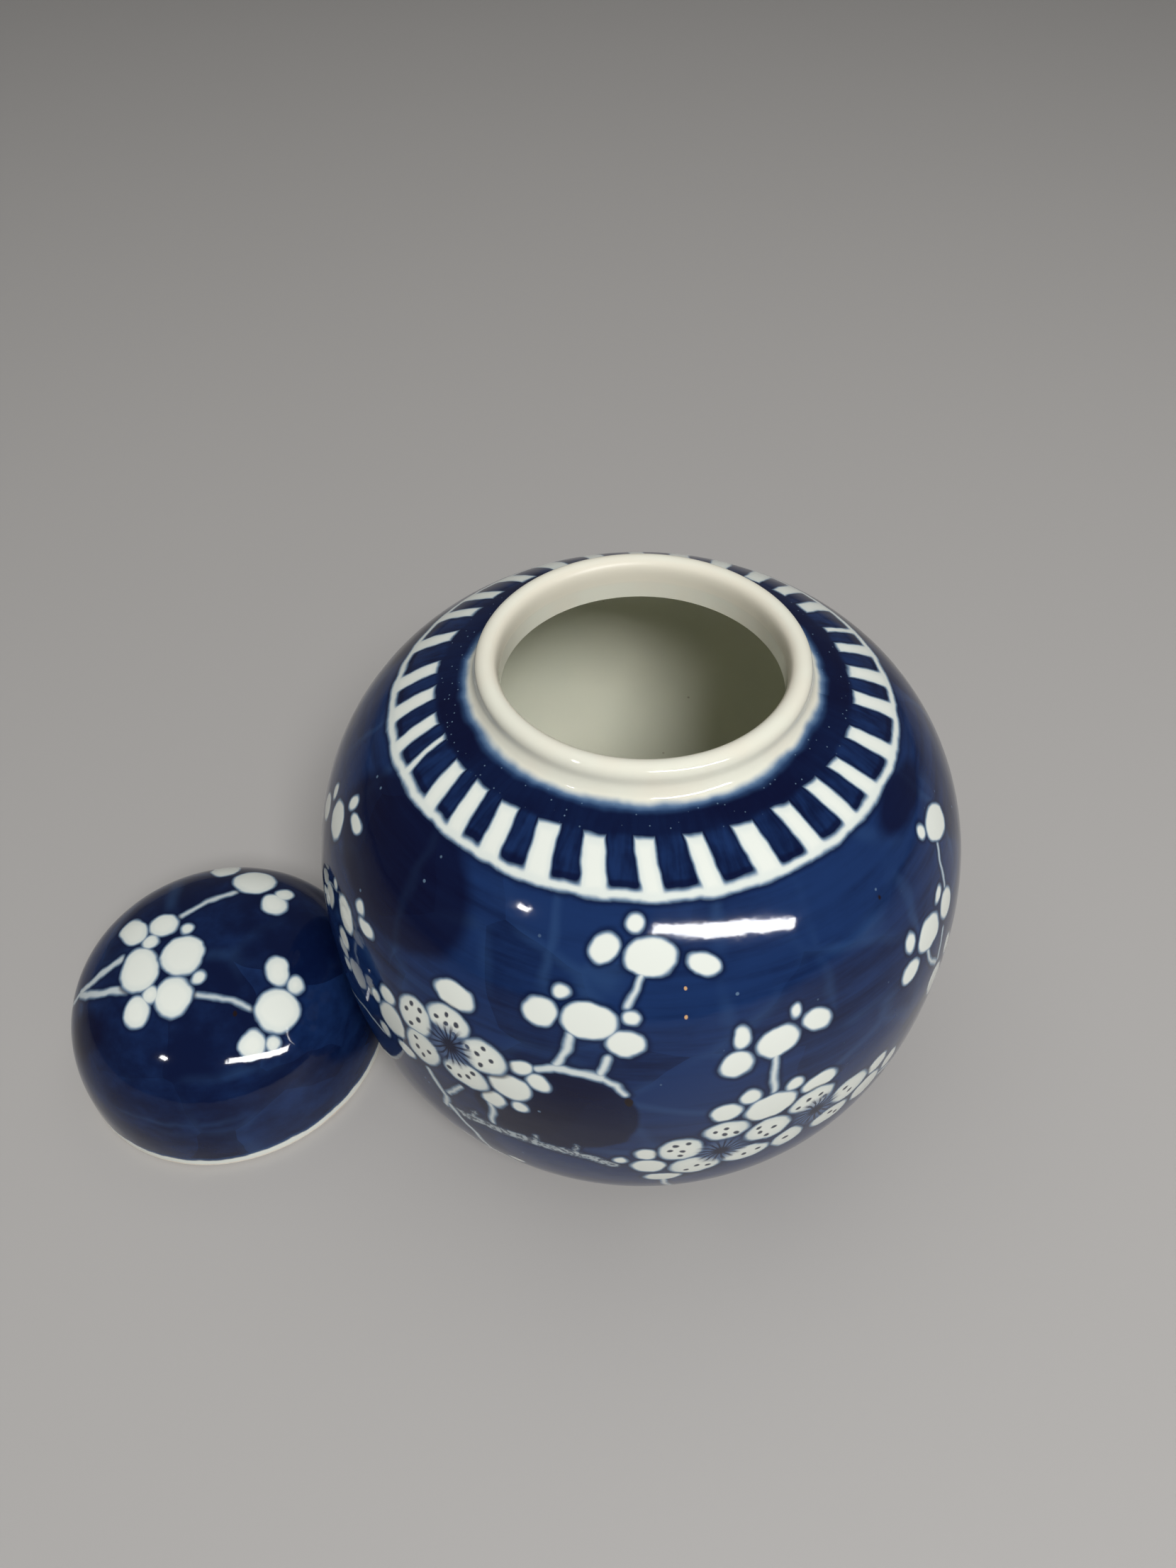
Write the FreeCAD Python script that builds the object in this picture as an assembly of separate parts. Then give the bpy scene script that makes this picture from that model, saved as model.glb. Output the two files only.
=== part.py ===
import FreeCAD, Part
import math
import os
from FreeCAD import Vector

# Porcelain ginger jar with its cap lid taken off and lying beside it.
# Millimetres, +Z up. Origin: the jar's axis, on the plane that the foot and the lid rest on.

# Jar body
jar_height = 119.0          # standing plane to the crest of the lip
belly_radius = 75.1         # widest circle
belly_height = 56.6         # height of the widest circle
wall = 4.0
floor_thickness = 5.0

# Neck and rolled lip
lip_radius = 35.0
lip_thickness = 5.0
lip_overhang = 0.9          # the lip stands out past the groove under it
flare_width = 2.0           # the neck spreads this far past the lip where it meets the shoulder
throat_bevel = 1.3          # edge inside, where the neck opens into the belly

# Shoulder, the curve from the widest circle in to the neck
shoulder_slope = 11.3       # fall of the shoulder where the neck rises from it, degrees
shoulder_fullness = 0.565   # length of the curve's handles, as a part of its span

# Lower body, the curve from the foot out to the widest circle
base_slope = 7.6            # rise of the body where it leaves the foot, degrees
base_fullness = 0.83
flank_fullness = 0.52

# Foot ring, turned, and unglazed where it stands
foot_radius = 46.0
foot_width = 5.0
foot_height = 3.0
foot_ledge = 1.0            # step from the ring out to the body
foot_recess = 3.5           # hollow inside the ring
foot_edge = 0.6             # bevel on both sides of the standing face

# Lid
lid_clearance = 0.9         # all round the lip when the lid is on
lid_wall = 3.8
lid_height = 38.8
skirt_height = 5.3          # straight outer wall above the rim
lid_socket = 8.0            # straight inner wall that passes over the neck
dome_fullness = 0.69
crown_thickness = 4.0
rim_edge = 0.7              # bevel on both sides of the rim

# Where the lid lies
lid_gap = 1.2               # least space between the dome and the belly, measured level
lid_bearing = 190.8         # from the jar's axis to the lid's, degrees from +X

lip_roll = lip_thickness / 2
mouth_radius = lip_radius - lip_thickness
neck_radius = lip_radius - lip_overhang
groove_height = jar_height - lip_roll - math.sqrt(lip_roll ** 2 - (lip_roll - lip_overhang) ** 2)
collar_radius = lip_radius + flare_width
flare_radius = (collar_radius - neck_radius) / (1 - math.sin(math.radians(shoulder_slope)))
collar_height = groove_height - flare_radius * math.cos(math.radians(shoulder_slope))
base_radius = foot_radius + foot_ledge
lid_bore = lip_radius + lid_clearance
lid_radius = lid_bore + lid_wall


def at(radius, height):
    return Vector(radius, 0, height)


def towards(start, degrees, length):
    """The point at a distance from start, in a direction given above the horizontal."""
    angle = math.radians(degrees)
    return start + at(length * math.cos(angle), length * math.sin(angle))


def path(points):
    """Straight lines from point to point."""
    return [Part.makeLine(a, b) for a, b in zip(points, points[1:])]


def bow(poles):
    """A smooth curve from the first pole to the last, drawn towards the two between."""
    curve = Part.BezierCurve()
    curve.setPoles(poles)
    return curve.toShape()


def lathe(edges):
    """One full turn of a closed outline about the upright axis."""
    face = Part.Face(Part.Wire(edges))
    return face.revolve(Vector(0, 0, 0), Vector(0, 0, 1), 360)


def flank_poles(start, inset):
    """Lower body, from the foot out and up to the widest circle."""
    widest = at(belly_radius - inset, belly_height)
    reach = base_fullness * (widest.x - start.x)
    rise = flank_fullness * (widest.z - start.z)
    return [start, towards(start, base_slope, reach), widest - at(0, rise), widest]


def shoulder_poles(end, inset):
    """Upper body, from the widest circle up and in to the neck."""
    widest = at(belly_radius - inset, belly_height)
    reach = shoulder_fullness * (widest.x - end.x)
    rise = shoulder_fullness * (end.z - widest.z)
    return [widest, widest + at(0, rise), towards(end, -shoulder_slope, reach), end]


def dome_poles(radius, start_height, crown_height):
    """The lid's dome, from the top of a straight wall up and in to the crown."""
    rise = dome_fullness * (crown_height - start_height)
    return [
        at(radius, start_height),
        at(radius, start_height + rise),
        at(radius * dome_fullness, crown_height),
        at(0, crown_height),
    ]


def foot_outline():
    """From the middle of the recess, round the standing ring, to where the body starts."""
    inner = foot_radius - foot_width
    return path([
        at(0, foot_recess),
        at(inner, foot_recess),
        at(inner, foot_edge),
        at(inner + foot_edge, 0),
        at(foot_radius - foot_edge, 0),
        at(foot_radius, foot_edge),
        at(foot_radius, foot_height),
        at(base_radius, foot_height),
    ])


def neck_outline(collar, opening):
    """From the collar up the outside of the neck, over the rolled lip and down the throat."""
    groove = at(neck_radius, groove_height)
    flare_centre = groove + at(flare_radius, 0)
    flare_middle = towards(flare_centre, 225 - shoulder_slope / 2, flare_radius)
    lip_out = at(lip_radius, jar_height - lip_roll)
    lip_in = at(mouth_radius, lip_out.z)
    crest = at(mouth_radius + lip_roll, jar_height)
    crest_inside = towards(at(crest.x, lip_out.z), 135, lip_roll)
    throat = at(mouth_radius, opening.z + throat_bevel)
    return [
        Part.Arc(collar, flare_middle, groove).toShape(),
        Part.Arc(groove, lip_out, crest).toShape(),
        Part.Arc(crest, crest_inside, lip_in).toShape(),
    ] + path([lip_in, throat, opening])


def make_jar_body():
    """Foot ring, belly, shoulder and lip outside, one even wall thick down to the floor inside."""
    body_start = at(base_radius, foot_height)
    collar = at(collar_radius, collar_height)
    opening = at(mouth_radius + throat_bevel, collar_height - wall)
    floor_edge = at(base_radius - wall, foot_recess + floor_thickness)
    edges = foot_outline()
    edges += [bow(flank_poles(body_start, 0)), bow(shoulder_poles(collar, 0))]
    edges += neck_outline(collar, opening)
    edges += [bow(shoulder_poles(opening, wall)[::-1]), bow(flank_poles(floor_edge, wall)[::-1])]
    edges += path([floor_edge, at(0, floor_edge.z), at(0, foot_recess)])
    return lathe(edges)


def make_lid():
    """A cap: domed crown, straight skirt and a flat rim, hollow to one even wall."""
    inside_height = lid_height - crown_thickness
    edges = [bow(dome_poles(lid_radius, skirt_height, lid_height)[::-1])]
    edges += path([
        at(lid_radius, skirt_height),
        at(lid_radius, rim_edge),
        at(lid_radius - rim_edge, 0),
        at(lid_bore + rim_edge, 0),
        at(lid_bore, rim_edge),
        at(lid_bore, lid_socket),
    ])
    edges += [bow(dome_poles(lid_bore, lid_socket, inside_height))]
    edges += path([at(0, inside_height), at(0, lid_height)])
    return lathe(edges)


def radius_at(poles, height):
    """Radius of a rising bow at a height, or the radius of its nearer end outside its span."""
    low, high = 0.0, 1.0
    for _ in range(40):
        t = (low + high) / 2
        weights = [(1 - t) ** 3, 3 * t * (1 - t) ** 2, 3 * t * t * (1 - t), t ** 3]
        if sum(w * pole.z for w, pole in zip(weights, poles)) < height:
            low = t
        else:
            high = t
    return sum(w * pole.x for w, pole in zip(weights, poles))


def lid_distance():
    """From axis to axis, so that dome and belly stand lid_gap apart where they come closest."""
    flank = flank_poles(at(base_radius, foot_height), 0)
    shoulder = shoulder_poles(at(collar_radius, collar_height), 0)
    dome = dome_poles(lid_radius, skirt_height, lid_height)
    reach = []
    for step in range(101):
        height = lid_height * step / 100
        side = flank if height < belly_height else shoulder
        reach.append(radius_at(side, height) + radius_at(dome, height))
    return max(reach) + lid_gap


def main():
    os.makedirs("parts", exist_ok=True)
    make_jar_body().exportStep("parts/jar_body.step")
    bearing = math.radians(lid_bearing)
    distance = lid_distance()
    lid = make_lid()
    lid.translate(Vector(distance * math.cos(bearing), distance * math.sin(bearing), 0))
    lid.exportStep("parts/lid.step")


main()
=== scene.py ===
import bpy
import math
from bpy.props import FloatProperty, FloatVectorProperty, IntProperty, PointerProperty
from mathutils import Matrix, Vector, noise


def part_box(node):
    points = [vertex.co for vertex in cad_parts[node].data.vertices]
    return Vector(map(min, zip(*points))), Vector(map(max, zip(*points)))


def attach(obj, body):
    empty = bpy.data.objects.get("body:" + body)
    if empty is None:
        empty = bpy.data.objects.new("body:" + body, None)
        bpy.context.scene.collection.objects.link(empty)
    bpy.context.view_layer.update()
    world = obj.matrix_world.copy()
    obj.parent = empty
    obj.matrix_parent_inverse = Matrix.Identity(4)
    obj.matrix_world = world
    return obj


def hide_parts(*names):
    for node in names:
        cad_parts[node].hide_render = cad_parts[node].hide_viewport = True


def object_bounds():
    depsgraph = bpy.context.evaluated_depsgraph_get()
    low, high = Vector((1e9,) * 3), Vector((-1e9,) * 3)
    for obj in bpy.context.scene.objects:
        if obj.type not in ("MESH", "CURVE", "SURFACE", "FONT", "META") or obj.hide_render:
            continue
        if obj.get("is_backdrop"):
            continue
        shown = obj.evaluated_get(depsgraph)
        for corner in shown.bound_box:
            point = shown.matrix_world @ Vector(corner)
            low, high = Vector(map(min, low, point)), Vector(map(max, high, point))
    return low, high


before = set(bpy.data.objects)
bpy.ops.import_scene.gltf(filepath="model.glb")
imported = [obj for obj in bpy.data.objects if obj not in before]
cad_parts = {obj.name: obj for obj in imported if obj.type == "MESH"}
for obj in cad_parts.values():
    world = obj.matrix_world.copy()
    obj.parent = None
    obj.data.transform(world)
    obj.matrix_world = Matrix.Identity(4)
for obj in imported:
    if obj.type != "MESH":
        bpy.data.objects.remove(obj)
cad_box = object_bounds()

bl_info = {
    "name": "Ginger Jar",
    "version": (1, 0, 0),
    "blender": (4, 5, 0),
    "location": "View3D > Sidebar > Ginger Jar",
    "description": "A cobalt and white porcelain ginger jar, with its cap lid lying beside it",
    "category": "Add Mesh",
}

MM = 0.001
TINY = 1e-7
SHARP_CORNER = math.radians(38)
OUTSIDE_STEPS = 70
INSIDE_STEPS = 60
CALM_HEIGHT = 12 * MM   # below it, the wall's unevenness dies away towards the table
JAR_LOW, JAR_HIGH = (Vector(corner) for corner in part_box("jar_body"))
LID_LOW, LID_HIGH = (Vector(corner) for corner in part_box("lid"))


# Sizes and colours that a user may change

def length(name, description, default):
    return FloatProperty(
        name=name, description=description, default=default, min=0.0, unit="LENGTH")


def colour(name, description, default):
    return FloatVectorProperty(
        name=name, description=description, default=default, min=0.0, max=1.0, subtype="COLOR")


class JarSizes(bpy.types.PropertyGroup):
    """Sizes of the jar's body."""
    belly_radius: FloatProperty(
        name="Belly Radius", description="Radius of the widest circle",
        default=(JAR_HIGH.x - JAR_LOW.x) / 2, min=0.01, unit="LENGTH")
    height: FloatProperty(
        name="Height", description="From the standing plane to the crest of the lip",
        default=JAR_HIGH.z, min=0.01, unit="LENGTH")
    belly_height: length("Belly Height", "Height of the widest circle", 56.6 * MM)
    wall: length("Wall", "Thickness of the wall", 4.0 * MM)
    floor: length("Floor", "Thickness of the floor", 5.0 * MM)
    lip_radius: length("Lip Radius", "Outer radius of the rolled lip", 35.0 * MM)
    lip_thickness: length("Lip Thickness", "Thickness of the rolled lip", 5.0 * MM)
    lip_overhang: length(
        "Lip Overhang", "How far the lip stands out past the groove under it", 0.5 * MM)
    flare_width: length(
        "Neck Flare", "How far the neck spreads past the lip at the shoulder", 2.0 * MM)
    throat_bevel: length(
        "Throat Bevel", "Edge inside, where the neck opens into the belly", 1.3 * MM)
    foot_radius: length("Foot Radius", "Outer radius of the foot ring", 46.0 * MM)
    foot_width: length("Foot Width", "Width of the foot ring", 5.0 * MM)
    foot_height: length("Foot Height", "Height of the foot ring", 3.0 * MM)
    foot_recess: length("Foot Recess", "Depth of the hollow inside the foot ring", 3.5 * MM)
    shoulder_slope: FloatProperty(
        name="Shoulder Slope", description="Fall of the shoulder where the neck rises from it",
        default=math.radians(11.3), subtype="ANGLE")
    base_slope: FloatProperty(
        name="Base Slope", description="Rise of the body where it leaves the foot",
        default=math.radians(7.6), subtype="ANGLE")
    unevenness: length(
        "Unevenness", "How far the hand-thrown wall strays from a true circle", 0.14 * MM)


class LidSizes(bpy.types.PropertyGroup):
    """Sizes of the cap lid."""
    radius: FloatProperty(
        name="Radius", description="Outer radius of the skirt",
        default=(LID_HIGH.x - LID_LOW.x) / 2, min=0.01, unit="LENGTH")
    height: FloatProperty(
        name="Height", description="From the rim to the crown",
        default=LID_HIGH.z, min=0.01, unit="LENGTH")
    wall: length("Wall", "Thickness of the wall", 3.8 * MM)
    crown: length("Crown", "Thickness of the crown", 4.0 * MM)
    skirt: length("Skirt", "Height of the straight outer wall above the rim", 5.3 * MM)
    socket: length(
        "Socket", "Height of the straight inner wall that passes over the neck", 8.0 * MM)
    bare_rim: length("Bare Rim", "Height of the unpainted edge above the rim", 1.3 * MM)
    unevenness: length(
        "Unevenness", "How far the hand-thrown wall strays from a true circle", 0.12 * MM)


class GlazeColours(bpy.types.PropertyGroup):
    """Colours of the painting, the glaze and the bare porcelain."""
    cobalt: colour("Cobalt", "Cobalt wash in the body of a brush stroke", (0.0095, 0.030, 0.110))
    cobalt_deep: colour("Deep Cobalt", "Cobalt where strokes overlap", (0.0028, 0.0072, 0.036))
    # Also the colour of the painted reflection of a dark figure on the jar's front and left
    cobalt_pooled_and_dark_reflection: colour(
        "Pooled Cobalt", "Cobalt where it pools and turns almost black", (0.0018, 0.0020, 0.0195))
    cobalt_thin: colour(
        "Thin Cobalt", "Cobalt where a stroke is thin, as along its edge", (0.036, 0.090, 0.215))
    bleed: colour("Bleed", "Edge of a white shape, where cobalt runs into it", (0.20, 0.31, 0.44))
    reserve: colour("White", "Porcelain left white under the glaze", (0.79, 0.82, 0.755))
    edge: colour("White's Edge", "White where it thins out towards the cobalt", (0.66, 0.72, 0.69))
    stem: colour("Stem", "Branches, with a thin veil of cobalt over them", (0.66, 0.71, 0.72))
    heart: colour("Flower Heart", "Thin wash in the heart of a flower", (0.10, 0.16, 0.29))
    pinhole: colour("Pinhole", "Pinholes in the glaze", (0.60, 0.36, 0.18))
    neck: colour("Neck", "Glazed neck and lip", (0.80, 0.795, 0.68))
    neck_warm: colour("Warm Neck", "Where the neck's glaze is warmer", (0.80, 0.77, 0.65))
    lip: colour("Lip", "Thin glaze on the crest of the lip", (0.82, 0.77, 0.64))
    inside: colour("Inside", "Greenish glaze inside the jar and the lid", (0.74, 0.75, 0.62))
    inside_pale: colour("Pale Inside", "Clouds in the glaze inside", (0.78, 0.775, 0.64))
    speck: colour("Speck", "Specks in the glaze inside", (0.25, 0.19, 0.12))
    biscuit: colour(
        "Biscuit", "Unglazed porcelain of the foot ring and the lid's rim", (0.76, 0.72, 0.63))
    grit: colour("Grit", "Darker grains of the unglazed porcelain", (0.66, 0.61, 0.52))
    iron: colour("Iron", "Warm iron stain where the glaze ends", (0.42, 0.17, 0.06))
    iron_dark: colour("Dark Iron", "Iron specks burnt nearly black", (0.014, 0.008, 0.009))


class StageSettings(bpy.types.PropertyGroup):
    """Floor, light and camera."""
    floor_colour: colour("Floor Colour", "Plain pale floor", (0.46, 0.445, 0.43))
    floor_cloud: colour("Floor Cloud", "Faint clouds on the floor", (0.43, 0.415, 0.40))
    world_colour: colour("Backdrop Colour", "Even grey light all round", (0.14, 0.139, 0.137))
    key_power: FloatProperty(
        name="Key Power", description="Soft light high at the front right",
        default=16.5, min=0.0, unit="POWER")
    fill_power: FloatProperty(
        name="Overhead Power", description="Large soft light above",
        default=6.3, min=0.0, unit="POWER")
    lamp_power: FloatProperty(
        name="Lamp Power", description="Long ceiling lamp that shows in the glaze",
        default=28.0, min=0.0, unit="POWER")
    camera_place: FloatVectorProperty(
        name="Camera Place", description="Where the photograph was taken from",
        default=(0.0, -0.18621, 0.27542), subtype="TRANSLATION", unit="LENGTH")
    camera_yaw: FloatProperty(
        name="Camera Yaw", description="Turn to the right of +Y",
        default=-0.06349, subtype="ANGLE")
    camera_pitch: FloatProperty(
        name="Camera Pitch", description="Tilt below level", default=0.81328, subtype="ANGLE")
    camera_roll: FloatProperty(
        name="Camera Roll", description="Turn about the line of sight",
        default=-0.01825, subtype="ANGLE")
    camera_lens: FloatProperty(
        name="Camera Lens", description="Focal length on a sensor 36 mm along its longer side",
        default=27.03, min=1.0)


class GingerJarSettings(bpy.types.PropertyGroup):
    """All the settings of the ginger jar."""
    jar: PointerProperty(type=JarSizes)
    lid: PointerProperty(type=LidSizes)
    colours: PointerProperty(type=GlazeColours)
    stage: PointerProperty(type=StageSettings)
    turns: IntProperty(
        name="Facets Round", description="How many flat strips make a full turn",
        default=240, min=24)


# Outlines, as points of radius and height

def at(radius, height):
    return Vector((radius, height))


def towards(start, angle, length):
    """The point at a distance from start, in a direction given above the horizontal."""
    return start + length * at(math.cos(angle), math.sin(angle))


def bow(poles, count):
    """Points along the curve from the first pole to the last, drawn towards the two between."""
    points = []
    for step in range(count + 1):
        t = step / count
        weights = ((1 - t) ** 3, 3 * t * (1 - t) ** 2, 3 * t * t * (1 - t), t ** 3)
        points.append(sum((w * pole for w, pole in zip(weights, poles)), Vector((0, 0))))
    return points


def arc(centre, radius, start, end, count):
    turn = (end - start) / count
    return [towards(centre, start + turn * step, radius) for step in range(count + 1)]


def straight(a, b, count):
    return [a.lerp(b, step / count) for step in range(count + 1)]


def soften(points, passes):
    """Rounds the corners of an outline as glaze does, with its ends kept."""
    for _ in range(passes):
        inner = [(a + 2 * b + c) / 4 for a, b, c in zip(points, points[1:], points[2:])]
        points = [points[0]] + inner + [points[-1]]
    return points


def flank(size, start, inset, count):
    """Lower body, from the foot out and up to the widest circle."""
    widest = at(size.belly_radius - inset, size.belly_height)
    reach = 0.83 * (widest.x - start.x)
    rise = 0.52 * (widest.y - start.y)
    return bow([start, towards(start, size.base_slope, reach), widest - at(0, rise), widest], count)


def shoulder(size, end, inset, count):
    """Upper body, from the widest circle up and in to the neck."""
    widest = at(size.belly_radius - inset, size.belly_height)
    reach = 0.565 * (widest.x - end.x)
    rise = 0.565 * (end.y - widest.y)
    leaving = towards(end, -size.shoulder_slope, reach)
    return bow([widest, widest + at(0, rise), leaving, end], count)


def dome(radius, start_height, crown_height, count):
    """The lid's dome, from the top of a straight wall up and in to the crown."""
    rise = 0.69 * (crown_height - start_height)
    start = at(radius, start_height)
    crown = at(0, crown_height)
    return bow([start, start + at(0, rise), crown + at(0.69 * radius, 0), crown], count)


# Meshes turned on the wheel

def stray(angle, height, amount):
    """How far a hand-thrown wall strays outwards at a place."""
    ring = Vector((math.cos(angle), math.sin(angle), height / 0.045))
    return amount * (noise.noise(ring * 0.9) + 0.4 * noise.noise(ring * 2.3 + Vector((7, 3, 1))))


def turned(name, bands, settings, centre, wobble, unroll, materials):
    """Turns bands of outline about an upright axis. Each band is its points and its material."""
    count = settings.turns
    rows = []
    for points, material in bands:
        for point in points:
            if not rows or (point - rows[-1][0]).length > TINY:
                rows.append((point, material))
    verts, starts = [], []
    for point, _ in rows:
        starts.append(len(verts))
        if point.x < TINY:
            verts.append((centre.x, centre.y, point.y))
            continue
        for step in range(count):
            angle = 2 * math.pi * step / count
            radius = point.x + stray(angle, point.y, wobble) * min(1.0, point.y / CALM_HEIGHT)
            x = centre.x + radius * math.sin(angle)
            y = centre.y - radius * math.cos(angle)
            verts.append((x, y, point.y))
    marks = unroll([point for point, _ in rows])
    faces, slots, coords = [], [], []
    for row in range(len(rows) - 1):
        low, high = starts[row], starts[row + 1]
        low_point = rows[row][0].x < TINY
        high_point = rows[row + 1][0].x < TINY
        for step in range(count):
            turn = (step - count // 2) % count
            after = (turn + 1) % count
            a0 = 2 * math.pi * (step - count // 2) / count
            a1 = a0 + 2 * math.pi / count
            corners = [(low if low_point else low + turn, a0, marks[row])]
            if not low_point:
                corners.append((low + after, a1, marks[row]))
            corners.append((high if high_point else high + after, a1, marks[row + 1]))
            if not high_point:
                corners.append((high + turn, a0, marks[row + 1]))
            faces.append([corner[0] for corner in corners])
            coords += [mark(angle) for _, angle, mark in corners]
            slots.append(rows[row + 1][1])
    mesh = bpy.data.meshes.new(name)
    mesh.from_pydata(verts, [], faces)
    layer = mesh.uv_layers.new(name="unrolled")
    layer.data.foreach_set("uv", [value for pair in coords for value in pair])
    mesh.polygons.foreach_set("material_index", slots)
    for material in materials:
        mesh.materials.append(material)
    mesh.shade_smooth()
    mesh.set_sharp_from_angle(angle=SHARP_CORNER)
    mesh.update()
    piece = bpy.data.objects.new(name, mesh)
    bpy.context.collection.objects.link(piece)
    return piece


def arc_lengths(points, origin):
    """Millimetres along the outline to each point, from the point nearest to origin."""
    total, lengths = 0.0, [0.0]
    for a, b in zip(points, points[1:]):
        total += (b - a).length / MM
        lengths.append(total)
    start = min(range(len(points)), key=lambda i: (points[i] - origin).length)
    return [length - lengths[start] for length in lengths]


# Shader maths

class Wire:
    """A node's output. Arithmetic on it adds the nodes that work the answer out."""

    def __init__(self, paint, socket):
        self.paint = paint
        self.socket = socket

    def join(self, operation, *others, flip=False):
        terms = (self,) + others
        flat = self.socket.type == "VALUE"
        kind = "ShaderNodeMath" if flat else "ShaderNodeVectorMath"
        if not flat:
            terms = tuple((t, t, t) if isinstance(t, (int, float)) else t for t in terms)
        if flip:
            terms = terms[::-1]
        output = "Value" if operation in ("DISTANCE", "LENGTH", "DOT_PRODUCT") else 0
        return self.paint.node(kind, {"operation": operation}, dict(enumerate(terms)), output)

    def __add__(self, other):
        return self.join("ADD", other)

    __radd__ = __add__

    def __sub__(self, other):
        return self.join("SUBTRACT", other)

    def __rsub__(self, other):
        return self.join("SUBTRACT", other, flip=True)

    def __mul__(self, other):
        return self.join("MULTIPLY", other)

    __rmul__ = __mul__

    def __abs__(self):
        return self.join("ABSOLUTE")

    def least(self, other):
        return self.join("MINIMUM", other)

    def most(self, other):
        return self.join("MAXIMUM", other)

    def times_plus(self, factor, term):
        return self.join("MULTIPLY_ADD", factor, term)

    def length(self):
        return self.join("LENGTH")

    def dot(self, vector):
        return self.join("DOT_PRODUCT", vector)

    def scaled(self, vector):
        """A fixed vector, scaled by this value."""
        sockets = {0: vector, "Scale": self}
        return self.paint.node("ShaderNodeVectorMath", {"operation": "SCALE"}, sockets)

    def part(self, axis):
        return self.paint.node("ShaderNodeSeparateXYZ", {}, {0: self}, axis)

    def channel(self, index):
        return self.paint.node("ShaderNodeSeparateColor", {}, {0: self}, index)

    def step(self, start, end, low=0.0, high=1.0):
        """Eases from low to high as the value goes from start to end."""
        settings = {"interpolation_type": "SMOOTHSTEP", "clamp": True}
        ends = {"Value": self, "From Min": start, "From Max": end, "To Min": low, "To Max": high}
        return self.paint.node("ShaderNodeMapRange", settings, ends)


class Nodes:
    """A tree of shader nodes under construction."""

    def __init__(self, tree):
        self.tree = tree
        tree.nodes.clear()

    def node(self, kind, settings, sockets, output=0):
        """Adds a node: its settings first, then what its sockets hold or are linked to."""
        node = self.tree.nodes.new(kind)
        count = len(self.tree.nodes)
        node.location = (200 * (count // 16), -180 * (count % 16))
        for name, value in settings.items():
            setattr(node, name, value)
        for name, value in sockets.items():
            if isinstance(value, Wire):
                self.tree.links.new(value.socket, node.inputs[name])
            else:
                node.inputs[name].default_value = value
        return None if output is None else Wire(self, node.outputs[output])

    def field(self, name, spot, draw, *shapes):
        """A named group of nodes that works out the distance from a spot to the shapes it draws."""
        tree = bpy.data.node_groups.new(name, "ShaderNodeTree")
        tree.interface.new_socket("Spot", in_out="INPUT", socket_type="NodeSocketVector")
        tree.interface.new_socket("Distance", in_out="OUTPUT", socket_type="NodeSocketFloat")
        inner = Nodes(tree)
        gap = draw(inner.node("NodeGroupInput", {}, {}), *shapes)
        inner.node("NodeGroupOutput", {}, {0: gap}, None)
        return self.node("ShaderNodeGroup", {"node_tree": tree}, {0: spot})

    def mix(self, factor, low, high):
        """A colour from low to high by factor."""
        colours = [c if isinstance(c, Wire) else tuple(c) + (1.0,) for c in (low, high)]
        sockets = {0: factor, 6: colours[0], 7: colours[1]}
        return self.node("ShaderNodeMix", {"data_type": "RGBA"}, sockets, 2)

    def noise(self, place, scale, detail=2.0, roughness=0.5):
        sockets = {"Vector": place, "Scale": scale, "Detail": detail, "Roughness": roughness}
        return self.node("ShaderNodeTexNoise", {"noise_dimensions": "3D"}, sockets)

    def shake(self, place, scale, reach):
        """A wandering offset on the unrolled surface, up to about half of reach each way."""
        across = self.noise(place, scale, 1.0)
        up = self.noise(place + (0.37, 0.11, 0.73), scale, 1.0)
        both = self.node("ShaderNodeCombineXYZ", {}, {0: across, 1: up, 2: 0.5})
        return (both - 0.5) * reach

    def place(self):
        return self.node("ShaderNodeTexCoord", {}, {}, "Object")

    def unrolled(self):
        return self.node("ShaderNodeUVMap", {"uv_map": "unrolled"}, {})


class Paint(Nodes):
    """A material under construction."""

    def __init__(self, name):
        self.material = bpy.data.materials.new(name)
        self.material.use_nodes = True
        super().__init__(self.material.node_tree)

    def finish(self, colour, roughness, normal, gloss=1.0):
        """Ends the material in a Principled shader. Gloss is its share of plain glass's shine."""
        sockets = {"Base Color": colour, "Roughness": roughness, "Normal": normal,
                   "IOR": 1.5, "Specular IOR Level": gloss * 0.5}
        surface = self.node("ShaderNodeBsdfPrincipled", {}, sockets)
        self.node("ShaderNodeOutputMaterial", {}, {"Surface": surface}, None)
        return self.material


# Painting: ovals, strokes and flowers on the unrolled surface, in millimetres

def nearest(gaps):
    """The least of the distances."""
    near = None
    for gap in gaps:
        near = gap if near is None else near.least(gap)
    return near


def ovals(spot, shapes, unit):
    """Distance to the nearest oval, less than nothing inside it. Ovals may lean, in degrees."""
    turned_spots = {0: spot}

    def gaps():
        for across, up, half_across, half_up, *leans in shapes:
            lean = sum(leans)
            angle = math.radians(lean)
            along = (math.cos(angle), math.sin(angle), 0.0)
            aside = (-math.sin(angle), math.cos(angle), 0.0)
            if lean not in turned_spots:
                turned_spots[lean] = spot.paint.node(
                    "ShaderNodeCombineXYZ", {}, {0: spot.dot(along), 1: spot.dot(aside), 2: 0.0})
            centre = Vector((across * unit, up, 0.0))
            half = (half_across * unit, half_up)
            start = (-centre.dot(along) / half[0], -centre.dot(aside) / half[1], 0.0)
            inside = turned_spots[lean].times_plus((1 / half[0], 1 / half[1], 0.0), start)
            size = sum(half) / 2
            yield inside.length().times_plus(size, -size)

    return nearest(gaps())


def petals_apart(spot, shapes, unit):
    """Distance to the nearest petal, with a thin seam left open where two petals meet."""
    near, second = None, None
    for gap in (ovals(spot, [shape], unit) for shape in shapes):
        if near is None:
            near = gap
            continue
        later = near.most(gap)
        second = later if second is None else second.least(later)
        near = near.least(gap)
    return near.most(near - second + SEAM)


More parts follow.
